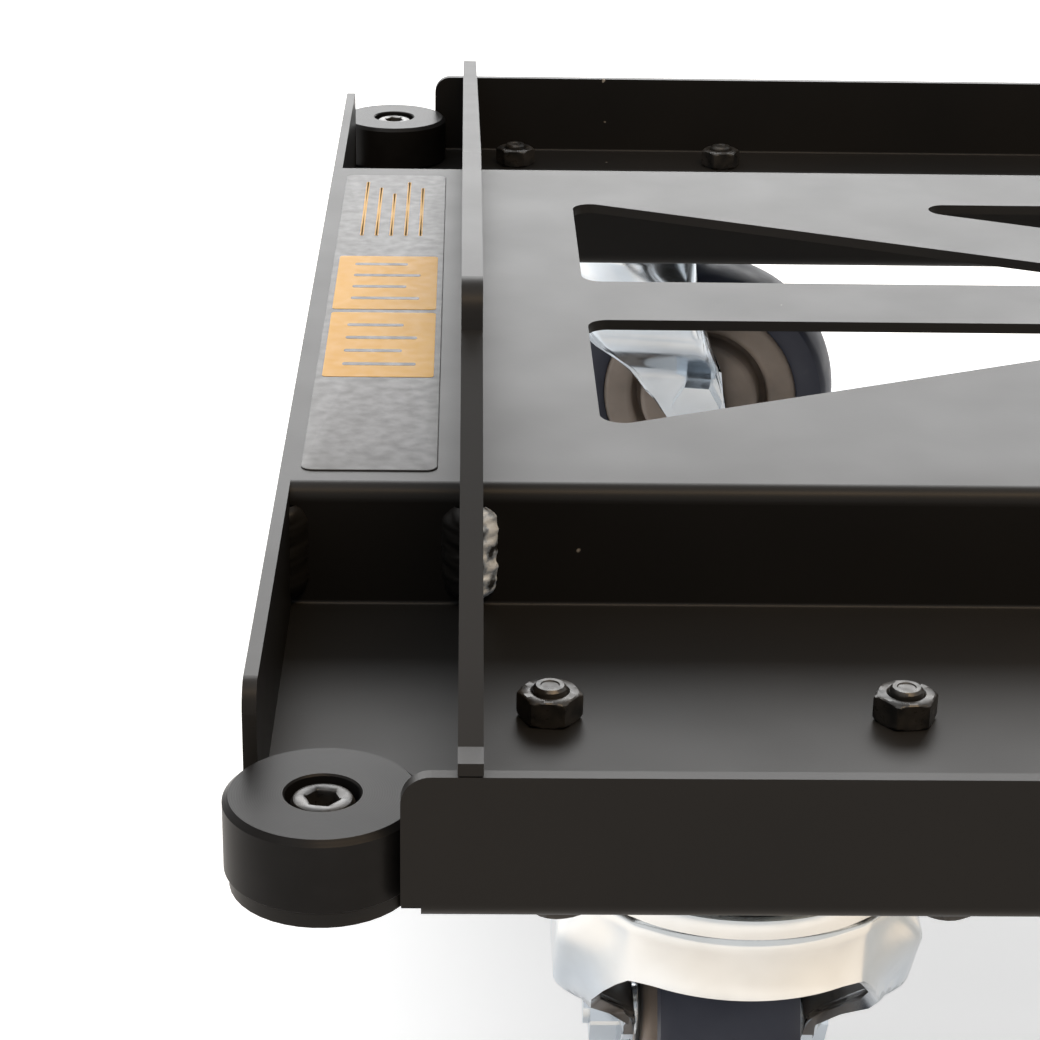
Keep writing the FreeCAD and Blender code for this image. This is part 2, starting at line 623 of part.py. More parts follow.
def make_swivels(spots):
    """Kingpin, its nut and a ring of balls at each castor."""
    pins, nuts, balls = [], [], []
    for x, y in spots:
        pin = new_body("kingpin")
        sketch = new_sketch(pin, "XY", f"{CROWN_BOTTOM} - side_play - kingpin_nut_height")
        circles(sketch, "kingpin_radius", [("0", "0")])
        add(pin, sketch, "Pad", "pad_thick + crown_gap + fork_sheet + side_play + kingpin_nut_height")
        pins.append(place(pin, x, y))
        nut = hex_prism("kingpin_nut", "kingpin_nut_flats", "kingpin_nut_height", "kingpin_radius + seat_fit")
        nuts.append(place(nut, x, y, f"{CROWN_BOTTOM} - side_play - kingpin_nut_height"))
        count = int(size("ball_count"))
        for number in range(count):
            ball = doc.addObject("Part::Sphere", "ball")
            bind(ball, "Radius", "ball_radius")
            turn_by = 2 * math.pi * number / count
            place(ball, f"{x} + {math.cos(turn_by):.9f}*ball_pitch_radius",
                  f"{y} + {math.sin(turn_by):.9f}*ball_pitch_radius",
                  f"{CROWN_TOP} + (crown_gap - race_drop)/2")
            balls.append(ball)
    group("kingpins", pins)
    group("kingpin_nuts", nuts)
    group("swivel_balls", balls)


# --- the whole dolly -------------------------------------------------------------------------------

make_base_pan()
for side_name, side_sign in SIDES:
    make_end_plate("end_plate_" + side_name, side_sign)
    make_rib("rib_plate_" + side_name, side_sign)
make_welds()
make_rating_plate()
make_bumpers()
make_castor_fasteners()
castor_spots = []
for corner, x_sign, y_sign, heading in CORNERS:
    castor_spot = (("" if x_sign > 0 else "-") + CASTOR_X, ("" if y_sign > 0 else "-") + CASTOR_Y)
    castor_spots.append(castor_spot)
    make_castor_plate(corner, castor_spot)
    make_fork(corner, castor_spot, heading)
    make_wheel(corner, castor_spot, heading)
make_swivels(castor_spots)
doc.recompute()

faults = [item.Label for item in doc.Objects if {"Invalid", "Error"} & set(item.State)]
faults += [item.Label for item in exports if item.Shape.isNull() or not item.Shape.isValid()]
if faults:
    raise SystemExit("not built: " + ", ".join(faults))

os.makedirs("parts", exist_ok=True)
for item in exports:
    item.Shape.exportStep(f"parts/{item.Label}.step")
print(len(exports), "sub-parts written")
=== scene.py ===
import json
import math

import bmesh
import bpy
import numpy as np
from mathutils import Matrix, Vector


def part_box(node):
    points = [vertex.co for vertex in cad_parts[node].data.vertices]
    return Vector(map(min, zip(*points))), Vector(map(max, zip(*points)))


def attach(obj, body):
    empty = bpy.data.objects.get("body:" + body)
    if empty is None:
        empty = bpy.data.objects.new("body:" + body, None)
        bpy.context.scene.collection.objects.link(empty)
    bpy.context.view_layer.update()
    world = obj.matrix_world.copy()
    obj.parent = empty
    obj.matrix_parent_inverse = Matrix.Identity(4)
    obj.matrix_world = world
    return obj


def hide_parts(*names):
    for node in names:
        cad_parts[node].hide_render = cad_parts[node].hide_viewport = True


# A black steel castor dolly. The CAD frame gives every place and size; this script adds the finishes
# and the finer surfaces of the fasteners, castors, welds and rating plate. Lengths are in metres.

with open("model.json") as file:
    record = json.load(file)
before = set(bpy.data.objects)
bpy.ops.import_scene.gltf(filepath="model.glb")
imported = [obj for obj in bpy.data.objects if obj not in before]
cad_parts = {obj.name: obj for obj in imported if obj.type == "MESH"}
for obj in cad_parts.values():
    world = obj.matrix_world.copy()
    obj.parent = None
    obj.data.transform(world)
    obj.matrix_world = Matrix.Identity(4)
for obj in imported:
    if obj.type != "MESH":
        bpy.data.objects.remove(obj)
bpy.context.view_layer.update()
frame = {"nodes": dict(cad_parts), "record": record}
MM = 0.001
TURN = 2 * math.pi
WELD_DISTANCE = 0.01 * MM       # vertices nearer than this are one vertex
SHARP_ANGLE = math.radians(38)  # edges that turn more than this are shaded sharp
CORNERS = ("front_left", "front_right", "back_left", "back_right")
JOINTS = {joint["name"]: joint for joint in frame["record"]["behaviour"]["joints"]}


# --- mesh helpers ---------------------------------------------------------------------------------

def grid_mesh(name, points, wrap_u=False, wrap_v=False):
    """A mesh from an array of points (rows u, columns v): each cell of the grid is one face."""
    rows, columns = points.shape[:2]
    u = np.arange(rows if wrap_u else rows - 1)
    v = np.arange(columns if wrap_v else columns - 1)
    a, b = np.meshgrid(u, v, indexing="ij")
    a_next, b_next = (a + 1) % rows, (b + 1) % columns
    faces = np.stack([a * columns + b, a_next * columns + b,
                      a_next * columns + b_next, a * columns + b_next], -1).reshape(-1, 4)
    mesh = bpy.data.meshes.new(name)
    mesh.from_pydata(points.reshape(-1, 3).tolist(), [], faces.tolist())
    return mesh


def join_meshes(name, meshes, smooth=True):
    """One object from several meshes, with doubles merged and faces turned outwards."""
    whole = bmesh.new()
    for mesh in meshes:
        whole.from_mesh(mesh)
        bpy.data.meshes.remove(mesh)
    bmesh.ops.remove_doubles(whole, verts=whole.verts, dist=WELD_DISTANCE)
    bmesh.ops.recalc_face_normals(whole, faces=whole.faces)
    mesh = bpy.data.meshes.new(name)
    whole.to_mesh(mesh)
    whole.free()
    piece = bpy.data.objects.new(name, mesh)
    bpy.context.scene.collection.objects.link(piece)
    if smooth:
        mesh.polygons.foreach_set("use_smooth", [True] * len(mesh.polygons))
        mesh.set_sharp_from_angle(angle=SHARP_ANGLE)
    return piece


def moved(points, matrix):
    """Points of any array shape, carried by a 4 x 4 matrix."""
    matrix = np.array(matrix)
    return points @ matrix[:3, :3].T + matrix[:3, 3]


def turned_points(profile, steps=72):
    """A profile of (radius, height) points turned about Z: x = r cos a, y = r sin a, z = height."""
    profile = np.asarray(profile, float)
    angle = np.linspace(0, TURN, steps, endpoint=False)
    radius, height = profile[:, 0], profile[:, 1]
    return np.stack([radius * np.cos(angle)[:, None], radius * np.sin(angle)[:, None],
                     np.broadcast_to(height, (steps, len(height)))], -1)


def rounded(corners, radius, steps=5):
    """A closed profile with each corner swapped for an arc: quadratic blend of the corner's two sides."""
    corners = np.asarray(corners, float)
    t = np.linspace(0, 1, steps)[:, None]
    out = []
    for index, corner in enumerate(corners):
        arms = [corners[index - 1] - corner, corners[(index + 1) % len(corners)] - corner]
        reach = [min(radius, 0.45 * np.linalg.norm(arm)) / max(np.linalg.norm(arm), 1e-9) for arm in arms]
        start, end = corner + arms[0] * reach[0], corner + arms[1] * reach[1]
        out.append((1 - t) ** 2 * start + 2 * t * (1 - t) * corner + t ** 2 * end)
    return np.vstack(out)


def hex_radius(angle, flats):
    """Distance from the middle to a hexagon's side: half the flats over the cosine from that side."""
    return flats / 2 / np.cos((angle + math.pi / 6) % (math.pi / 3) - math.pi / 6)


# --- materials ------------------------------------------------------------------------------------

class Finish:
    """A node material under construction, with short calls for the nodes used here."""

    def __init__(self, name, colour, roughness, metallic=0.0, specular=0.5, coat=0.0):
        self.material = bpy.data.materials.new(name)
        self.material.use_nodes = True
        self.tree = self.material.node_tree
        self.shader = self.tree.nodes["Principled BSDF"]
        self.shader.inputs["Base Color"].default_value = (*colour, 1)
        self.shader.inputs["Roughness"].default_value = roughness
        self.shader.inputs["Metallic"].default_value = metallic
        self.shader.inputs["Specular IOR Level"].default_value = specular
        self.shader.inputs["Coat Weight"].default_value = coat
        self.place = self.tree.nodes.new("ShaderNodeTexCoord").outputs["Object"]

    def node(self, kind, **inputs):
        node = self.tree.nodes.new("ShaderNode" + kind)
        for name, value in inputs.items():
            name = name.replace("_", " ")
            if isinstance(value, bpy.types.NodeSocket):
                self.tree.links.new(value, node.inputs[name])
            else:
                node.inputs[name].default_value = value
        return node

    def noise(self, scale, detail=3.0, stretch=None):
        """Noise at a scale in features per metre, stretched along the given axes."""
        place = self.place
        if stretch:
            place = self.node("Mapping", Vector=place, Scale=stretch).outputs[0]
        return self.node("TexNoise", Vector=place, Scale=scale, Detail=detail).outputs[0]

    def ramp(self, source, *stops):
        """Colours or greys spread over a value: each stop is (position, (r, g, b))."""
        ramp = self.node("ValToRGB", Fac=source)
        elements = ramp.color_ramp.elements
        while len(elements) < len(stops):
            elements.new(0.5)
        for element, (position, colour) in zip(elements, stops):
            element.position = position
            element.color = (*colour, 1)
        return ramp.outputs[0]

    def to(self, name, source):
        self.tree.links.new(source, self.shader.inputs[name])
        return self

    def bump(self, height, strength, distance=0.1 * MM, under=None):
        node = self.node("Bump", Height=height, Strength=strength, Distance=distance)
        if under is not None:
            self.tree.links.new(under, node.inputs["Normal"])
        self.to("Normal", node.outputs[0])
        return node.outputs[0]


def grey(value, tint=(1, 1, 1)):
    return tuple(value * part for part in tint)


def powder_coat():
    """Satin black powder coat: fine orange peel, cloudy gloss, faint rubs and a few pale chips."""
    finish = Finish("black powder coat", grey(0.011), 0.4, specular=0.12)
    cloud = finish.noise(9, 5)
    peel = finish.noise(1500, 2)
    chips = finish.noise(190, 1)
    rub = finish.noise(34, 6)
    base = finish.ramp(cloud, (0.3, grey(0.009)), (0.7, grey(0.013, (1.08, 1, 0.92))))
    chipped = finish.node("MixRGB", Fac=finish.ramp(chips, (0.83, grey(0)), (0.85, grey(1))),
                          Color1=base, Color2=(0.35, 0.33, 0.30, 1))
    finish.to("Base Color", chipped.outputs[0])
    finish.to("Roughness", finish.ramp(rub, (0.3, grey(0.39)), (0.7, grey(0.43))))
    finish.bump(peel, 0.16, 0.05 * MM)
    return finish.material


def zinc(name="blue zinc plate", tint=(0.86, 0.93, 1.0)):
    """Bright zinc: cool silver with cloudy passivation and fine handling marks."""
    finish = Finish(name, grey(0.7, tint), 0.26, metallic=1.0)
    cloud = finish.noise(28, 5)
    warm = finish.noise(13, 2)
    base = finish.node("MixRGB", Fac=finish.ramp(warm, (0.52, grey(0)), (0.75, grey(0.35))),
                       Color1=finish.ramp(cloud, (0.3, grey(0.56, tint)), (0.7, grey(0.78, tint))),
                       Color2=(0.78, 0.66, 0.46, 1))
    finish.to("Base Color", base.outputs[0])
    finish.to("Roughness", finish.ramp(finish.noise(160, 4), (0.3, grey(0.13)), (0.7, grey(0.25))))
    finish.bump(finish.noise(700, 2), 0.12, 0.05 * MM)
    return finish.material


def black_steel():
    """Blackened fastener steel, a little glossy, with rubbed patches."""
    finish = Finish("blackened steel", grey(0.016), 0.34, metallic=0.2, specular=0.35)
    finish.to("Base Color", finish.ramp(finish.noise(240, 4), (0.35, grey(0.012)),
                                        (0.75, grey(0.045, (1.1, 1, 0.88)))))
    finish.to("Roughness", finish.ramp(finish.noise(500, 3), (0.3, grey(0.24)), (0.7, grey(0.42))))
    finish.bump(finish.noise(1800, 2), 0.15, 0.05 * MM)
    return finish.material


def polished_steel():
    """Ground steel with fine lines."""
    finish = Finish("polished steel", grey(0.62), 0.16, metallic=1.0)
    lines = finish.noise(900, 2, (1, 1, 12))
    finish.to("Roughness", finish.ramp(lines, (0.3, grey(0.1)), (0.7, grey(0.28))))
    finish.bump(finish.noise(2200, 1, (1, 1, 10)), 0.1, 0.03 * MM)
    return finish.material


def nylon(name, colour, roughness):
    """Dense plastic with a soft mottle and a faint grain."""
    finish = Finish(name, colour, roughness, specular=0.5)
    low, high = (tuple(part * share for part in colour) for share in (0.75, 1.3))
    finish.to("Base Color", finish.ramp(finish.noise(45, 5), (0.3, low), (0.7, high)))
    finish.to("Roughness", finish.ramp(finish.noise(120, 4), (0.3, grey(roughness - 0.06)),
                                       (0.7, grey(roughness + 0.08))))
    finish.bump(finish.noise(1300, 2), 0.18, 0.05 * MM)
    return finish.material


def turned_nylon(name, centre):
    """Black nylon turned on a lathe: fine rings about the given centre on the flat face."""
    finish = Finish(name, grey(0.009), 0.36, specular=0.08)
    centred = finish.node("Mapping", Vector=finish.place, Location=(-centre[0], -centre[1], 0))
    rings = finish.node("TexWave", Vector=centred.outputs[0], Scale=620, Distortion=0.6, Detail=2)
    rings.wave_type = "RINGS"
    rings.rings_direction = "Z"
    finish.to("Base Color", finish.ramp(finish.noise(70, 4), (0.3, grey(0.006)),
                                        (0.7, grey(0.011, (1, 1, 1.05)))))
    finish.to("Roughness", finish.ramp(rings.outputs[1], (0.2, grey(0.32)), (0.8, grey(0.42))))
    under = finish.bump(rings.outputs[1], 0.1, 0.03 * MM)
    finish.bump(finish.noise(60, 3, (1, 1, 14)), 0.08, 0.05 * MM, under)
    return finish.material


def tyre_rubber():
    """Dark navy elastic rubber with dust on its faces."""
    finish = Finish("navy rubber", (0.02, 0.024, 0.045), 0.5, specular=0.4)
    finish.to("Base Color", finish.ramp(finish.noise(38, 6), (0.35, (0.018, 0.022, 0.04)),
                                        (0.62, (0.03, 0.035, 0.055)), (0.85, (0.11, 0.11, 0.115))))
    finish.to("Roughness", finish.ramp(finish.noise(90, 4), (0.3, grey(0.42)), (0.7, grey(0.62))))
    finish.bump(finish.noise(900, 3), 0.25, 0.08 * MM)
    return finish.material


def weld_finish_with_painted_sheen():
    """Thinly coated weld: dark in random patches, and bluish white patches that are a painted reflection
    of the pale surroundings.
    """
    finish = Finish("weld bead", grey(0.3), 0.38, metallic=0.1, specular=0.5)
    patches = finish.noise(260, 5)
    # The bluish white stops are a painted reflection of the pale surroundings, put into the bead's colour;
    # the dark stop is random patches.
    finish.to("Base Color", finish.ramp(patches, (0.36, grey(0.03)), (0.45, (0.34, 0.40, 0.48)),
                                        (0.56, (0.80, 0.86, 0.92))))
    finish.bump(finish.noise(700, 4), 0.6, 0.3 * MM)
    return finish.material


def printed_film(name, low, high, roughness):
    """Printed plastic film with slight fading."""
    finish = Finish(name, low, roughness, specular=0.2)
    finish.to("Base Color", finish.ramp(finish.noise(22, 5), (0.3, low), (0.7, high)))
    finish.to("Roughness", finish.ramp(finish.noise(300, 3), (0.3, grey(roughness - 0.04)),
                                       (0.7, grey(roughness + 0.06))))
    finish.bump(finish.noise(1100, 2), 0.1, 0.04 * MM)
    return finish.material


POWDER = powder_coat()
ZINC = zinc()
BLACK_STEEL = black_steel()
POLISHED = polished_steel()
BLACK_NYLON = nylon("black nylon", grey(0.025), 0.42)
RIM_NYLON = nylon("beige grey nylon", (0.26, 0.22, 0.19), 0.46)
RUBBER = tyre_rubber()
WELD = weld_finish_with_painted_sheen()
PLATE_GREY = printed_film("grey film", (0.032, 0.032, 0.034), (0.042, 0.041, 0.040), 0.42)
PANEL_YELLOW = printed_film("yellow film", (0.46, 0.25, 0.035), (0.53, 0.30, 0.05), 0.55)
SLOT_FINISH = {
    "black_powder_coat": POWDER, "weld_bead": WELD, "plate_face": PLATE_GREY,
    "zinc_plated_steel": ZINC, "polished_steel": POLISHED, "black_steel": BLACK_STEEL,
    "black_nylon": BLACK_NYLON, "grey_nylon": RIM_NYLON, "navy_tyre": RUBBER,
}


def finish_piece(piece, body, slot, material=None, replaces=()):
    """Give a new piece its material, which is its slot's finish unless another is given, and its body, and
    hide the nodes that it stands for.
    """
    piece.data.materials.append(material or SLOT_FINISH[slot])
    if replaces:
        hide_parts(*replaces)
    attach(piece, body)
    return piece


def dress_cad_nodes():
    """Every CAD node takes the finish of its slot; each roller's lathe rings sit on its own centre."""
    for entry in frame["record"]["subparts"]:
        name = entry["node"]
        material = SLOT_FINISH[entry["material_slot"]]
        if name.startswith("bumper_roller"):
            low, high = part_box(name)
            material = turned_nylon("turned " + name.replace("_", " "), (np.array(low) + high) / 2)
        node = frame["nodes"][name]
        node.data.materials.clear()
        node.data.materials.append(material)


# --- fasteners ------------------------------------------------------------------------------------

FLATS = 13 * MM                 # across the flats of an M8 nut
BOLT_HALF_X, BOLT_HALF_Y = 40 * MM, 30 * MM
CASTOR_PLATE = 4 * MM


def nut_points(flats, hole, height, steps=96):
    """A hexagon nut: at each angle the side is the hexagon, cut back where a 30 degree chamfer cone is
    nearer; the top and bottom run in to a countersunk hole."""
    angle = np.linspace(0, TURN, steps, endpoint=False)[:, None]
    side = hex_radius(angle, flats)
    depth = np.array([0, 0.3, 0.6, 1.0, 1.6]) * MM
    level = np.concatenate([depth, height - depth[::-1]])
    cone = flats * 0.478 + np.minimum(level, height - level) * math.tan(math.radians(60))
    radius = np.minimum(side, cone[None, :])
    inner = np.broadcast_to(np.array([hole, hole, hole + 0.5 * MM]), (steps, 3))
    radius = np.hstack([radius, inner[:, ::-1], inner[:, :1]])
    radius[:, -1] = hole + 0.5 * MM
    heights = np.concatenate([level, [height, height - 0.5 * MM, 0.5 * MM, 0]])
    return np.stack([radius * np.cos(angle), radius * np.sin(angle),
                     np.broadcast_to(heights, radius.shape)], -1)


def stud_points(radius, low, high, pitch=1.25 * MM, steps=48):
    """A threaded end: the radius dips by a triangle wave along the height, which climbs one pitch a
    turn, and a chamfer closes the tip to a shallow dished centre."""
    angle = np.linspace(0, TURN, steps, endpoint=False)[:, None]
    level = np.linspace(low, high, 26)[None, :]
    phase = level / pitch - angle / TURN
    groove = np.abs(phase % 1 - 0.5) * 2
    body = radius - 0.045 * radius * groove
    chamfer = radius * 0.80 + (high - level)
    body = np.minimum(body, chamfer)
    rim = np.array([0.76, 0.55, 0.5, 0.2, 0.001]) * radius
    tip = high + np.array([0, 0, -0.25, -0.35, -0.35]) * MM
    shape = (steps, len(rim))
    points = np.concatenate([body, np.broadcast_to(rim, shape)], 1)
    heights = np.concatenate([np.broadcast_to(level, body.shape), np.broadcast_to(tip, shape)], 1)
    return np.stack([points * np.cos(angle), points * np.sin(angle), heights], -1)


def castor_bolt_spots():
    """The sixteen bolt axes, each castor's swivel axis plus or minus half the bolt spacing, and each
    fastener's turn in degrees, which differs from bolt to bolt."""
    for corner in CORNERS:
        x, y, _ = JOINTS["swivel_" + corner]["pos_m"]
        for dx in (-BOLT_HALF_X, BOLT_HALF_X):
            for dy in (-BOLT_HALF_Y, BOLT_HALF_Y):
                yield x + dx, y + dy, 0.9 * (x + dx) * 1000 + 1.7 * dy * 1000


def make_castor_fasteners():
    """Chamfered nuts, threaded bolt ends above them and bolt heads under the castor plates."""
    low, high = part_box("castor_nuts")
    bolt_low, bolt_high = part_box("castor_bolts")
    nuts, bolts = [], []
    plate_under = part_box("castor_plate_front_left")[1][2] - CASTOR_PLATE
    for x, y, twist in castor_bolt_spots():
        turn = Matrix.Translation((x, y, 0)) @ Matrix.Rotation(math.radians(twist % 60), 4, "Z")
        lift = Matrix.Translation((0, 0, low[2]))
        nut = nut_points(FLATS, 4 * MM, high[2] - low[2])
        nuts.append(grid_mesh("nut", moved(nut, turn @ lift), True, True))
        stud = stud_points(3.98 * MM, bolt_low[2] + 5 * MM, bolt_high[2])
        bolts.append(grid_mesh("stud", moved(stud, turn), True))
        head = nut_points(FLATS, 0.01 * MM, plate_under - bolt_low[2])
        drop = Matrix.Translation((0, 0, bolt_low[2]))
        bolts.append(grid_mesh("head", moved(head, turn @ drop), True, True))
    finish_piece(join_meshes("castor_nuts_formed", nuts), "frame", "black_steel",
                 replaces=("castor_nuts",))
    finish_piece(join_meshes("castor_bolts_formed", bolts), "frame", "black_steel",
                 replaces=("castor_bolts",))


def cap_screw_points(low, high, steps=120):
    """A socket cap screw: knurled head (radius plus a small cosine of the angle), rolled top edge, and
    a hexagon socket that runs down to a flat."""
    angle = np.linspace(0, TURN, steps, endpoint=False)[:, None]
    head, top = 6.5 * MM, high
    knurl = 0.10 * MM * np.cos(angle * 40)
    under = top - 8 * MM
    rows = [(4 * MM, low, 0), (4 * MM, under, 0), (head, under, 0), (head, under + 0.6 * MM, 1),
            (head, top - 1.4 * MM, 1), (head - 0.15 * MM, top - 0.9 * MM, 0),
            (head - 0.6 * MM, top - 0.2 * MM, 0), (head - 1.2 * MM, top, 0), (3.9 * MM, top, 0)]
    radius = [np.full_like(angle, r) + k * knurl for r, _, k in rows]
    height = [z for _, z, _ in rows]
    socket = hex_radius(angle, 6 * MM)
    for share, z in ((1.04, top - 0.25 * MM), (1.0, top - 0.5 * MM), (1.0, top - 4 * MM),
                     (0.5, top - 4 * MM), (0.001, top - 4.6 * MM)):
        radius.append(socket * share)
        height.append(z)
    radius = np.hstack(radius)
    return np.stack([radius * np.cos(angle), radius * np.sin(angle),
                     np.broadcast_to(np.array(height), radius.shape)], -1)


def make_bumper_screws():
    """A socket cap screw down the middle of each roller."""
    low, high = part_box("bumper_screws")
    screws = []
    for index, corner in enumerate(CORNERS):
        x, y, _ = JOINTS["bumper_spin_" + corner]["pos_m"]
        turn = Matrix.Translation((x, y, 0)) @ Matrix.Rotation(0.35 + index, 4, "Z")
        points = cap_screw_points(low[2], high[2])
        screws.append(grid_mesh("screw", moved(points, turn), True))
    finish_piece(join_meshes("bumper_screws_formed", screws), "frame", "black_steel",
                 replaces=("bumper_screws",))


# --- welds ----------------------------------------------------------------------------------------

WELD_LEG = 5 * MM
RIPPLE_PITCH = 1.9 * MM
SECTIONS = 64


def bead_points(start, end, side_a, side_b, leg, seed):
    """A fillet weld: along its length a quarter-round section between two walls swells and dips with
    overlapping ripples, a slow wander and a little seeded noise."""
    draw = np.random.default_rng(seed)
    along = np.linspace(0, 1, SECTIONS)[:, None]
    around = np.linspace(0, 1, 13)[None, :]
    length = np.linalg.norm(np.subtract(end, start))
    ripple = 0.02 * np.abs(np.sin(along * length / RIPPLE_PITCH * math.pi + around * 1.3))
    wander = sum(draw.uniform(0.01, 0.035) * np.sin(along * TURN * n + draw.uniform(0, TURN)
                 + around * draw.uniform(-5, 5)) for n in (1, 2.3, 3.7, 5.1, 7.3))
    ends = np.sqrt(np.clip(1 - np.abs(2 * along - 1) ** 6, 0.02, 1))
    radius = leg * (0.84 + ripple + wander) * ends
    radius = np.clip(radius, 0.25 * leg, leg * 0.98)
    bulge = np.sin(around * math.pi)
    turn = around * math.pi / 2
    a, b = np.cos(turn) * radius, np.sin(turn) * radius
    flat = 1 - 0.16 * bulge
    surface = (np.array(start) + along[..., None] * np.subtract(end, start)
               + (a * flat)[..., None] * np.array(side_a) + (b * flat)[..., None] * np.array(side_b))
    root = np.broadcast_to(np.array(start) + along[..., None] * np.subtract(end, start),
                           (SECTIONS, 1, 3)).copy()
    tube = np.concatenate([surface, root], 1)
    caps = [np.repeat(tube[index:index + 1].mean(1, keepdims=True), tube.shape[1], 1) for index in (0, -1)]
    return np.concatenate([caps[0], tube, caps[1]], 0)


def make_welds():
    """Upright beads where ribs and end plates meet the walls of the hat. Those on the sides of the ribs
    that face the middle of the dolly take the weld finish with its painted bluish white reflection, and
    the others are coated."""
    low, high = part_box("rib_welds")
    wall = high[1] - WELD_LEG
    beads, coated, end_beads = [], [], []
    seed = 1
    for side, rib in ((-1, "rib_plate_left"), (1, "rib_plate_right")):
        rib_low, rib_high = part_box(rib)
        plate_low, plate_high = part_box("end_plate_left" if side < 0 else "end_plate_right")
        inner_face = plate_high[0] if side < 0 else plate_low[0]
        right, left = (beads, coated) if side < 0 else (coated, beads)
        seats = [(right, rib_high[0], 1), (left, rib_low[0], -1), (end_beads, inner_face, -side)]
        for group, x, away in seats:
            for depth in (-1, 1):
                seed += 1
                points = bead_points((x, depth * wall, low[2]), (x, depth * wall, high[2]),
                                     (away, 0, 0), (0, depth, 0), WELD_LEG, seed)
                group.append(grid_mesh("bead", points, False, True))
    # These beads take the weld finish, whose bluish white is a painted reflection of the pale
    # surroundings.
    finish_piece(join_meshes("rib_weld_beads", beads), "frame", "weld_bead", replaces=("rib_welds",))
    finish_piece(join_meshes("rib_weld_beads_coated", coated), "frame", "weld_bead", POWDER)
    finish_piece(join_meshes("end_plate_weld_beads", end_beads), "frame", "weld_bead", POWDER,
                 ("end_plate_welds",))


# --- rating plate ---------------------------------------------------------------------------------

def pad_points(x, y, z, thick, corner):
    """A flat pad with rounded corners: rings of a superellipse-cornered outline from the bottom edge up
    over a small rounded rim and in to the middle."""
    steps = 20
    angle = np.linspace(0, math.pi / 2, steps)
    outline = []
    for quarter, (sx, sy) in enumerate(((1, 1), (-1, 1), (-1, -1), (1, -1))):
        turn = angle + quarter * math.pi / 2
        centre = np.array([(x[0] + x[1]) / 2 + sx * ((x[1] - x[0]) / 2 - corner),
                           (y[0] + y[1]) / 2 + sy * ((y[1] - y[0]) / 2 - corner)])
        outline.append(centre + corner * np.stack([np.cos(turn), np.sin(turn)], 1))
    outline = np.vstack(outline)
    middle = outline.mean(0)
    rings = []
    for inset, height in ((0, 0), (0, 0.7), (0.12, 0.93), (0.3, 1.0), (None, 1.0)):
        ring = np.repeat(middle[None], len(outline), 0) if inset is None else (
            outline - np.sign(outline - middle) * inset * MM)
        rings.append(np.column_stack([ring, np.full(len(ring), z + thick * height)]))
    return np.stack(rings, 1)


def make_rating_plate():
    """A grey film plate with two plain yellow panels and a few plain rules; nothing is written."""
    low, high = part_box("rating_plate")
    thick = high[2] - low[2]
    plate = grid_mesh("plate", pad_points((low[0], high[0]), (low[1], high[1]), low[2], thick * 0.7,
                                          3 * MM), True)
    finish_piece(join_meshes("rating_plate_face", [plate]), "frame", "plate_face",
                 replaces=("rating_plate",))
    top = low[2] + thick * 0.7
    panels, rules = [], []
    left, right = low[0] + 1.8 * MM, high[0] - 1.8 * MM
    for start, end in ((-69, -14.5), (-11.5, 40)):
        panel = pad_points((left, right), (start * MM, end * MM), top, thick * 0.2, 1.2 * MM)
        panels.append(grid_mesh("panel", panel, True))
        for number in range(4):
            y = (start + 9 + number * 11) * MM
            rule = pad_points((left + 5 * MM, right - (5 + 4 * (number % 2)) * MM),
                              (y, y + 2.4 * MM), top + thick * 0.2, thick * 0.08, 0.8 * MM)
            rules.append(grid_mesh("rule", rule, True))
    for number in range(5):
        x = left + (5.2 + number * 4.6) * MM
        line = pad_points((x, x + 1.1 * MM), (62 * MM, (124 - 7 * (number % 3)) * MM),
                          top, thick * 0.15, 0.5 * MM)
        panels.append(grid_mesh("line", line, True))
    finish_piece(join_meshes("rating_plate_panels", panels), "frame", "plate_face", PANEL_YELLOW)
    finish_piece(join_meshes("rating_plate_rules", rules), "frame", "plate_face", PLATE_GREY)


# --- castors --------------------------------------------------------------------------------------

def smooth(value, low, high):
    """0 below low, 1 above high, and 3t^2 - 2t^3 between."""
    t = np.clip((value - low) / (high - low), 0, 1)
    return t * t * (3 - 2 * t)


CROWN = 38.5 * MM               # radius of the fork's round wall
TRAIL = 34 * MM                 # from the swivel axis to the axle
AXLE = 50 * MM                  # height of the axle
FOOT = 12.8 * MM                # radius of a leg's rounded foot
LEG_OUT = 20.9 * MM             # from the wheel's middle to the leg's sheet


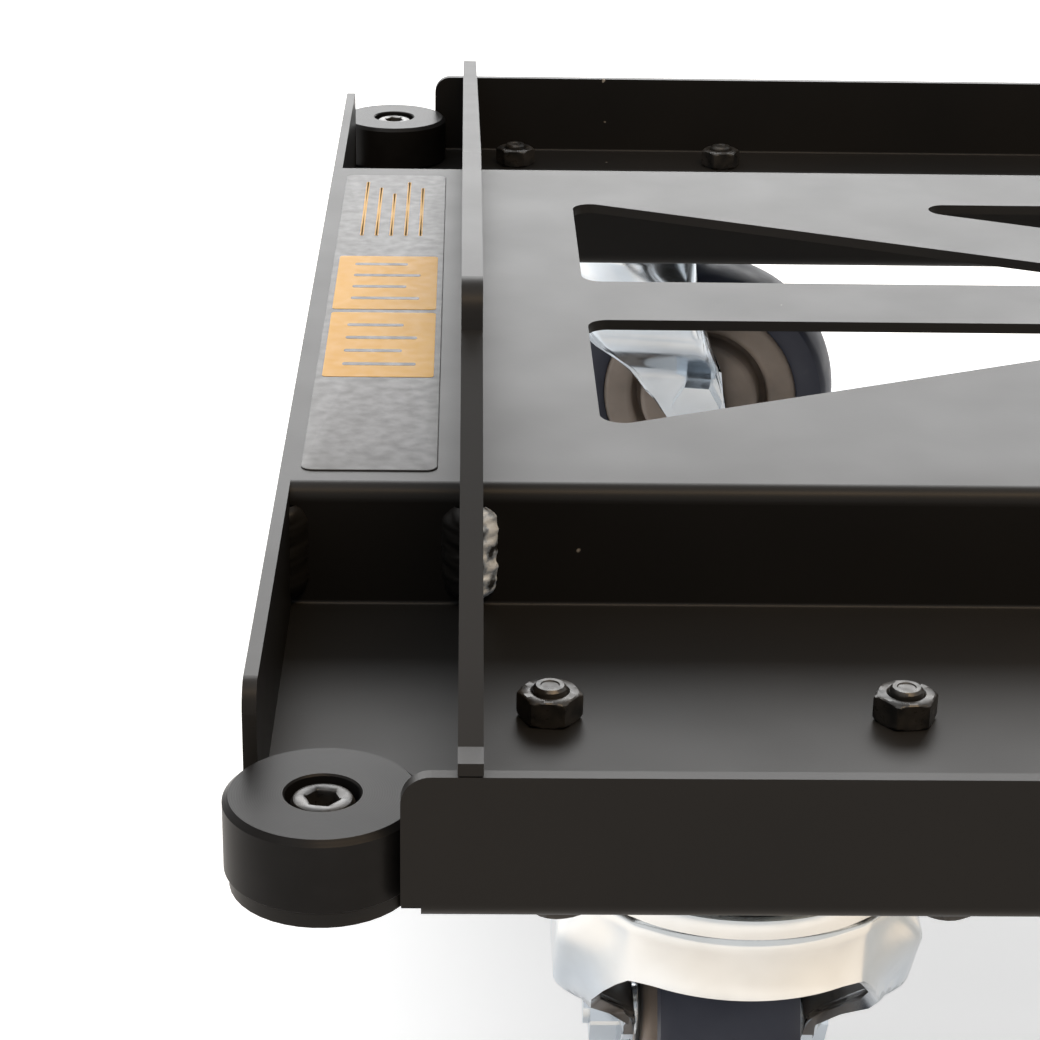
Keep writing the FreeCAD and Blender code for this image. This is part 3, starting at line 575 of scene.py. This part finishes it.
def fork_meshes(top):
    """The pressed fork. Shell: one wall round the swivel axis, whose column at each angle runs down to
    the short curtain's edge, or beside the wheel to the half-round foot on the axle, mixed by a smooth
    step of the angle. The cheeks go flat below the crown and joggle inwards by a smooth step of the
    drop. Crown: a dished disc with a rolled cup round the ball race."""
    angle = np.linspace(0, TURN, 241)[:, None]
    down = np.linspace(0, 1, 44)[None, :] ** 1.4
    aside, side = np.abs(np.sin(angle)), np.where(np.sin(angle) < 0, -1, 1)
    cheek = smooth(aside, 0.62, 0.80)
    front = smooth(-np.cos(angle), -0.15, 0.35)
    across = np.clip(np.cos(angle) / math.sin(math.radians(42)), -1, 1)
    end_x = CROWN * np.cos(angle) * (1 - cheek) + (TRAIL + FOOT * across) * cheek
    foot_z = AXLE - FOOT * np.sqrt(np.clip(1 - across ** 2, 0, 1))
    end_z = (top - (4 + 11 * front) * MM) * (1 - cheek) + foot_z * cheek
    drop = (top - end_z) * down
    roll = 2.5 * MM * (1 - np.sqrt(np.clip(1 - (1 - np.clip(drop / (2.5 * MM), 0, 1)) ** 2, 0, 1)))
    hollow = np.sin(np.clip(drop / (21 * MM), 0, 1) * math.pi)
    sag = 2.6 * MM * (1 - smooth(aside, 0.5, 0.8)) * hollow * front
    radius = CROWN - roll - sag
    x = radius * np.cos(angle) + (end_x - CROWN * np.cos(angle)) * down
    flat = smooth(drop, 0, 14 * MM) * cheek
    joggle = smooth(drop, 31 * MM, 52 * MM)
    y = radius * np.sin(angle) * (1 - flat) + side * (CROWN - 0.6 * MM) * flat
    y = y * (1 - joggle) + side * LEG_OUT * joggle
    shell = np.stack(np.broadcast_arrays(x, y, top - drop), -1)

    dish = [(6.3, 0), (14, 0), (19, -0.6), (26, -0.6), (33, 0), (35.6, 0.2), (36.2, 4.2), (37.0, 4.9),
            (38.0, 4.4), (38.45, 3.0), (38.45, 0.0), (37.6, -2.4), (35.7, -2.9), (20, -2.9), (6.3, -2.9)]
    profile = np.array(dish) * MM + (0, top)
    return grid_mesh("shell", shell), grid_mesh("crown", turned_points(profile, 144), True, True)


def make_fork(corner):
    """One castor's fork at its own heading."""
    swivel, spin = JOINTS["swivel_" + corner]["pos_m"], JOINTS["wheel_spin_" + corner]["pos_m"]
    heading = math.atan2(spin[1] - swivel[1], spin[0] - swivel[0])
    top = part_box("fork_" + corner)[1][2] - 5 * MM
    shell, crown = fork_meshes(top)
    piece = join_meshes("fork_pressed_" + corner, [shell])
    wall = piece.modifiers.new("wall", "SOLIDIFY")
    wall.thickness, wall.offset = 2.8 * MM, 0
    wall.use_even_offset = False
    edge = piece.modifiers.new("edge", "BEVEL")
    edge.width, edge.segments, edge.limit_method = 0.5 * MM, 2, "ANGLE"
    bpy.context.view_layer.update()
    shell = bpy.data.meshes.new_from_object(piece.evaluated_get(bpy.context.evaluated_depsgraph_get()))
    bpy.data.objects.remove(piece)
    whole = join_meshes("fork_formed_" + corner, [shell, crown])
    whole.data.transform(Matrix.Translation((swivel[0], swivel[1], 0)) @ Matrix.Rotation(heading, 4, "Z"))
    finish_piece(whole, "castor_fork_" + corner, "zinc_plated_steel", replaces=("fork_" + corner,))


WHEEL_STEPS = 128


def wheel_matrix(corner):
    """Takes a shape turned about Z to the wheel's axle line."""
    spin = JOINTS["wheel_spin_" + corner]
    axle = Vector(spin["axis"])
    turn = Vector((0, 0, 1)).rotation_difference(axle).to_matrix().to_4x4()
    return Matrix.Translation(spin["pos_m"]) @ turn


def make_wheel(corner):
    """A crowned tyre, a ribbed centre with raised rim and hub, both turned about the axle."""
    matrix = wheel_matrix(corner)
    tread = np.linspace(-1, 1, 15)
    crown = [(50 * MM - 1.1 * MM * abs(t) ** 2.6, t * 11.5 * MM) for t in tread]
    corners = [(37.1, 13.2), (38.6, 14.6), (43.5, 15.9), (46.8, 15.4), (48.3, 13.8)]
    side = [(r * MM, z * MM) for r, z in corners]
    profile = [(r, -z) for r, z in side] + crown + side[::-1]
    surface = moved(turned_points(profile, WHEEL_STEPS), matrix)
    tyre = join_meshes("tyre_crowned_" + corner, [grid_mesh("tyre", surface, True, True)])
    finish_piece(tyre, "castor_wheel_" + corner, "navy_tyre", replaces=("tyre_" + corner,))

    half = [(10, 17.4), (20.8, 17.4), (22.4, 16.2), (22.9, 8.0), (25.0, 6.2), (26.2, 13.2), (28.0, 14.0),
            (35.6, 14.0), (37.0, 13.0)]
    top = [(r * MM, z * MM) for r, z in half]
    profile = rounded(top + [(r, -z) for r, z in top[::-1]], 0.7 * MM, 4)
    centre = moved(turned_points(profile, WHEEL_STEPS), matrix)
    meshes = [grid_mesh("centre", centre, True, True)]
    finish_piece(join_meshes("wheel_centre_formed_" + corner, meshes), "castor_wheel_" + corner,
                 "grey_nylon", replaces=("wheel_centre_" + corner,))


# --- stage, light and camera ----------------------------------------------------------------------

FLOOR_LIFT = 0.5


def seen_rays(tree):
    """1 where the camera, gloss or glass looks at the background, and 0 for light."""
    path = tree.nodes.new("ShaderNodeLightPath")
    seen = path.outputs["Is Camera Ray"]
    for other in ("Is Glossy Ray", "Is Transmission Ray"):
        either = tree.nodes.new("ShaderNodeMath")
        either.operation = "MAXIMUM"
        tree.links.new(seen, either.inputs[0])
        tree.links.new(path.outputs[other], either.inputs[1])
        seen = either.outputs[0]
    return seen


def pale_sheet(name, shade):
    """Plain pale matt surface, lifted towards white where it is looked at, which keeps its shadow."""
    material = bpy.data.materials.new(name)
    material.use_nodes = True
    tree = material.node_tree
    shader = tree.nodes["Principled BSDF"]
    shader.inputs["Base Color"].default_value = (shade, shade, shade, 1)
    shader.inputs["Roughness"].default_value = 0.9
    shader.inputs["Emission Color"].default_value = (1, 1, 1, 1)
    lift = tree.nodes.new("ShaderNodeMath")
    lift.operation = "MULTIPLY"
    lift.inputs[1].default_value = FLOOR_LIFT
    tree.links.new(seen_rays(tree), lift.inputs[0])
    tree.links.new(lift.outputs[0], shader.inputs["Emission Strength"])
    return material


def make_stage():
    """A wide level floor under the wheels."""
    bpy.ops.mesh.primitive_plane_add(size=14, location=(0, 0, 0))
    floor = bpy.context.object
    floor.name = "floor"
    floor.data.materials.append(pale_sheet("pale floor", 0.9))


SKY_LIGHT = 0.35


def make_world():
    """A soft grey sky for light, which the camera, gloss and glass see as white."""
    world = bpy.data.worlds.new("studio")
    bpy.context.scene.world = world
    world.use_nodes = True
    tree = world.node_tree
    sky = tree.nodes["Background"]
    sky.inputs["Color"].default_value = (1, 1, 1, 1)
    strength = tree.nodes.new("ShaderNodeMath")
    strength.operation = "MULTIPLY_ADD"
    tree.links.new(seen_rays(tree), strength.inputs[0])
    strength.inputs[1].default_value = 1 - SKY_LIGHT
    strength.inputs[2].default_value = SKY_LIGHT
    tree.links.new(strength.outputs[0], sky.inputs["Strength"])


def area_light(name, place, aim, size, power, colour=(1, 1, 1)):
    """A soft rectangular lamp turned to face a point."""
    data = bpy.data.lights.new(name, "AREA")
    data.shape = "RECTANGLE"
    data.size, data.size_y = size
    data.energy = power
    data.color = colour
    lamp = bpy.data.objects.new(name, data)
    bpy.context.scene.collection.objects.link(lamp)
    lamp.location = place
    lamp.rotation_euler = (Vector(aim) - Vector(place)).to_track_quat("-Z", "Y").to_euler()


def make_lights():
    """A wide softbox behind the object, a soft lamp above it and a narrow warm one over its front."""
    area_light("back softbox", (-0.3, 2.3, 1.35), (-0.2, 0, 0.15), (3.0, 1.7), 88)
    area_light("top softbox", (-0.8, -0.3, 1.9), (-0.2, 0, 0.1), (1.4, 1.4), 10)
    area_light("warm top", (0.1, -0.75, 1.5), (-0.1, -0.2, 0.12), (1.2, 0.12), 14, (1.0, 0.70, 0.40))


def make_camera():
    """A long lens low over the front left corner, looking back along +Y and down."""
    yaw, pitch, roll = 0.0247, 0.3985, 0.0173
    forward = Vector((math.sin(yaw) * math.cos(pitch), math.cos(yaw) * math.cos(pitch), -math.sin(pitch)))
    right = Vector((math.cos(yaw), -math.sin(yaw), 0))
    up = right.cross(forward)
    tilted_right = right * math.cos(roll) + up * math.sin(roll)
    tilted_up = up * math.cos(roll) - right * math.sin(roll)
    data = bpy.data.cameras.new("camera")
    data.sensor_width = 36
    data.lens = 91.0
    data.clip_start = 0.01
    camera = bpy.data.objects.new("camera", data)
    camera.matrix_world = Matrix((
        (tilted_right.x, tilted_up.x, -forward.x, -0.3159),
        (tilted_right.y, tilted_up.y, -forward.y, -0.7328),
        (tilted_right.z, tilted_up.z, -forward.z, 0.3977),
        (0, 0, 0, 1)))
    bpy.context.scene.collection.objects.link(camera)
    bpy.context.scene.camera = camera


make_camera()
make_stage()
make_world()
make_lights()
bpy.context.scene.view_settings.view_transform = "Standard"
dress_cad_nodes()
make_castor_fasteners()
make_bumper_screws()
make_welds()
make_rating_plate()
for corner_name in CORNERS:
    make_fork(corner_name)
    make_wheel(corner_name)
